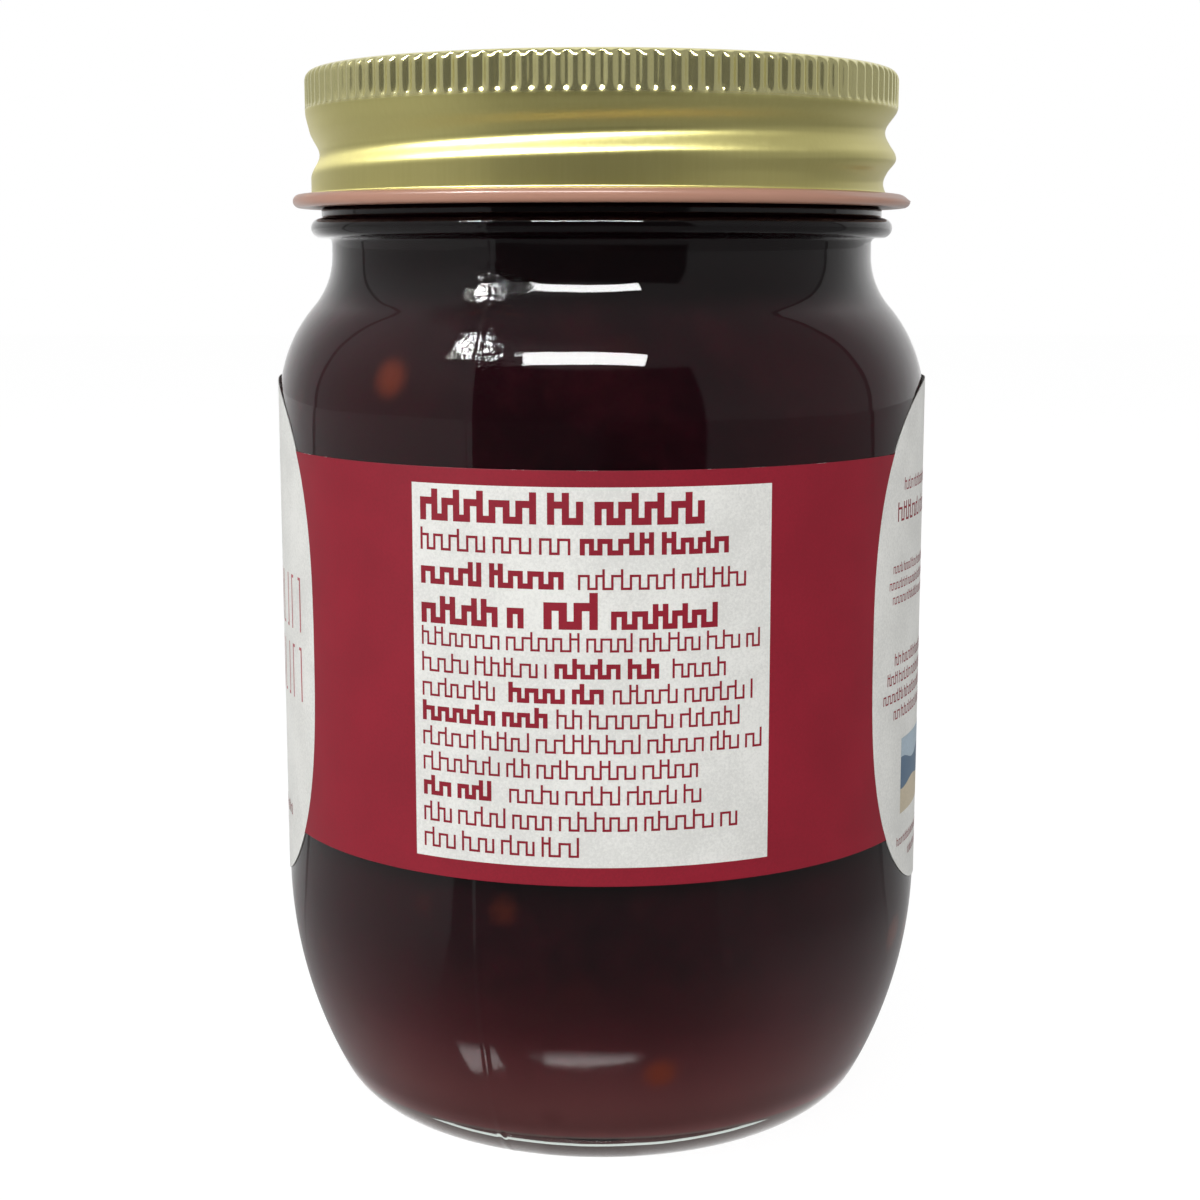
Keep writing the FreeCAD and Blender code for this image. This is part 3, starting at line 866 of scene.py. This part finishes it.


# The stand: a plain white table top that looks the same white as the room, to the eye and through glass, but
# for a faint shadow where the jar stands, cast on its matt part and painted where it is seen through glass.
# In mirrors it is grey by the jar, a painted shade, and farther off as the room is.
def mirrored_room(finish, across, ahead, up):
    """How bright the room is in mirrors, from a direction's parts across, ahead of the jar and up: a dark
    window in front, soft panels at both sides that are brighter towards their tops, a lighter back wall
    beyond a thin dark frame, and a grey ceiling."""
    turn = finish.maths("ARCTAN2", across, ahead)
    from_window = abs(turn + math.radians(5.5))
    from_panels = abs(turn + math.radians(5.7))
    panel_end = 1.98
    window = 1.0 - finish.step(from_window, math.radians(39.5), math.radians(41.5))
    window = window * (1.0 - finish.step(up, 0.56, 0.60))
    behind = finish.step(from_panels, panel_end - 0.005, panel_end + 0.005)
    frame_edge = finish.step(from_panels, panel_end - 0.045, panel_end - 0.03) * (1.0 - behind)
    to_right = finish.step(turn, -0.3, 0.3)
    low = 0.32 - to_right * 0.04
    high = 0.42 - to_right * 0.17
    share = finish.step(up, 0.05, 0.60)
    panel = low * (1.0 - share) + high * share
    ceiling = finish.step(up, 0.74, 0.84)
    around = panel * (1.0 - ceiling) + ceiling * 0.25
    back_wall = 0.40 + finish.step(from_panels, panel_end, 2.75) * 0.45
    around = around * (1.0 - behind) + behind * back_wall
    around = around * (1.0 - frame_edge * 0.45)
    return around * (1.0 - window) + window * 0.055


def looks(finish, ahead, near, far):
    """Which kind of look a ray is, by Light Path: how far it is seen, by eye or through glass, and how far it
    is mirrored. What shows through glass counts as seen behind the jar and as mirrored in front of it, with
    the change between near and far. Gives also whether the ray came through glass."""
    path = finish.node("ShaderNodeLightPath")
    by_eye, glossy, through = (Socket(finish, path.out.node.outputs[f"Is {kind} Ray"])
                               for kind in ("Camera", "Glossy", "Transmission"))
    beyond = finish.step(ahead * -1.0, near, far)
    return finish.clamp(by_eye + through * beyond), finish.clamp(glossy + through * (1.0 - beyond)), through


def floor_finish():
    """White board. To the eye it is part matt, for the shadow, and part white light of its own, weaker under
    the jar where it is seen through glass, a painted shadow of the jar. In mirrors it is a grey that grows
    from near the jar to far off, with painted shade of the jar close by in front and painted light under the
    foot, where light comes through the glass foot, and it has a faint gloss round the jar that is stronger in
    front, by azimuth."""
    finish = Finish("white_floor")
    across, deep, _ = finish.parts(finish.place())
    ahead = deep * -1.0
    seen, mirrored, through = looks(finish, ahead, 0.0, 0.06)
    radius = finish.maths("SQRT", across * across + ahead * ahead)
    turn = finish.maths("ARCTAN2", across, ahead)

    # Painted shadow: the floor's own white light is weaker under the jar where it is seen through glass.
    painted_shadow_beneath = 1.0 - finish.step(radius, 0.045, 0.25)
    matte = finish.node("ShaderNodeBsdfDiffuse", {}, {"Color": (0.8, 0.8, 0.8, 1.0)})
    white = finish.node("ShaderNodeEmission", {}, {"Color": 1.16 * (1.0 - through * painted_shadow_beneath * 0.75)})
    board = finish.node("ShaderNodeMixShader", {}, {0: seen * 0.8, 1: matte, 2: white})

    # Painted shade: in mirrors the floor close to the jar is dim in front and lighter to the sides.
    near = 0.14 + finish.step(abs(turn + math.radians(5.5)), math.radians(15.0), math.radians(75.0)) * 0.22
    away = mirrored_room(finish, across, ahead, 0.0) * (1.25 - finish.step(across, -0.1, 0.1) * 0.5)
    middle = (1.0 - finish.step(radius, 0.6, 1.0)) * 0.17
    far = finish.step(radius, 0.05, 0.16)
    # Painted light: in mirrors the floor under the glass foot is bright, for light that comes through the
    # foot.
    foot = 1.0 - finish.step(radius, 0.030, 0.037)
    level = near * (1.0 - far) + far * finish.maths("MAXIMUM", middle, away) + foot * 0.9
    grey = finish.node("ShaderNodeEmission", {}, {"Color": level})
    gloss = finish.node("ShaderNodeBsdfAnisotropic", {}, {"Color": (0.8, 0.8, 0.8, 1.0), "Roughness": 0.08})
    in_front = finish.step(turn, math.radians(-15.5), math.radians(-12.5))
    in_front = in_front * (1.0 - finish.step(turn, math.radians(7.0), math.radians(10.0)))
    glossy = (1.0 - finish.step(radius, 0.0500, 0.0545)) * (0.035 + in_front * 0.15)
    mirror = finish.node("ShaderNodeMixShader", {}, {0: glossy, 1: grey, 2: gloss})
    return finish.surface(finish.node("ShaderNodeMixShader", {}, {0: mirrored, 1: board, 2: mirror}))


floor_half = 2.5
floor_points = np.array([(-1, -1, 0), (1, -1, 0), (1, 1, 0), (-1, 1, 0)]) * floor_half
floor_mesh = bpy.data.meshes.new("floor")
floor_mesh.from_pydata(floor_points.tolist(), [], [(0, 1, 2, 3)])
floor_mesh.materials.append(floor_finish())
floor = bpy.data.objects.new("floor", floor_mesh)
bpy.context.scene.collection.objects.link(floor)


# The room: white to the eye and through glass, the studio's panels in mirrors, and a plain grey light from
# every side for matt things.
def room():
    """The world's light: the mirrored room where a ray is mirrored, else 1 where it is seen and 0.4 where it
    lights what is matt."""
    finish = Finish("room", world=True)
    across, deep, up = finish.parts(finish.node("ShaderNodeTexCoord"))
    ahead = deep * -1.0
    seen, mirrored, _ = looks(finish, ahead, -0.1, 0.2)
    level = mirrored * mirrored_room(finish, across, ahead, up) + (1.0 - mirrored) * (0.40 + seen * 0.60)
    back = finish.node("ShaderNodeBackground", {}, {"Color": (1.0, 1.0, 1.0, 1.0), "Strength": level})
    finish.node("ShaderNodeOutputWorld", {}, {"Surface": back})
    return finish.made


bpy.context.scene.world = room()


# The lamps: soft boxes at both sides and above in front for what is matt, and two bright strips up in front,
# which show only as the highlights in the glass, the lid and the stand.
def lamp(name, place, size, power, mirror_only=False):
    """A soft rectangular lamp at a place, in metres, turned to face the middle of the jar. One kind shows in
    mirrors alone and the other lights matt things alone."""
    light = bpy.data.lights.new(name, "AREA")
    light.shape = "RECTANGLE"
    light.size, light.size_y = size
    light.energy = power
    made = bpy.data.objects.new(name, light)
    bpy.context.scene.collection.objects.link(made)
    made.location = place
    gap = np.array((0, 0, rim_z / 2)) - np.array(place)
    pitch = math.atan2(np.hypot(gap[0], gap[1]), -gap[2])
    made.rotation_euler = (pitch, 0.0, math.atan2(gap[1], gap[0]) - math.pi / 2)
    made.visible_glossy = mirror_only
    made.visible_diffuse = not mirror_only
    made.visible_camera = False
    made.visible_transmission = False


lamp("left_softbox", (-0.9, -0.55, 0.45), (0.8, 1.1), 5.2)
lamp("right_softbox", (0.9, -0.45, 0.45), (0.8, 1.1), 2.2)
lamp("front_fill", (-0.15, -1.0, 0.6), (0.6, 0.4), 3.6)
lamp("strip_lamp", (-0.075, -0.67, 0.71), (0.60, 0.15), 6.2, mirror_only=True)
lamp("side_strip", (-0.62, -0.42, 0.78), (0.22, 0.16), 8.5, mirror_only=True)


# The camera: in front of the jar, a little below the lid, and tipped down towards the label.
camera = bpy.data.cameras.new("camera")
camera.sensor_width = 36.0
camera.lens = 63.45
camera.clip_start = 0.01
viewer = bpy.data.objects.new("camera", camera)
bpy.context.scene.collection.objects.link(viewer)
viewer.location = (-0.0002, -0.267, 0.107)
viewer.rotation_euler = (math.radians(90 - 9.36), 0.0, 0.0)
bpy.context.scene.camera = viewer
bpy.context.scene.view_settings.view_transform = "Standard"
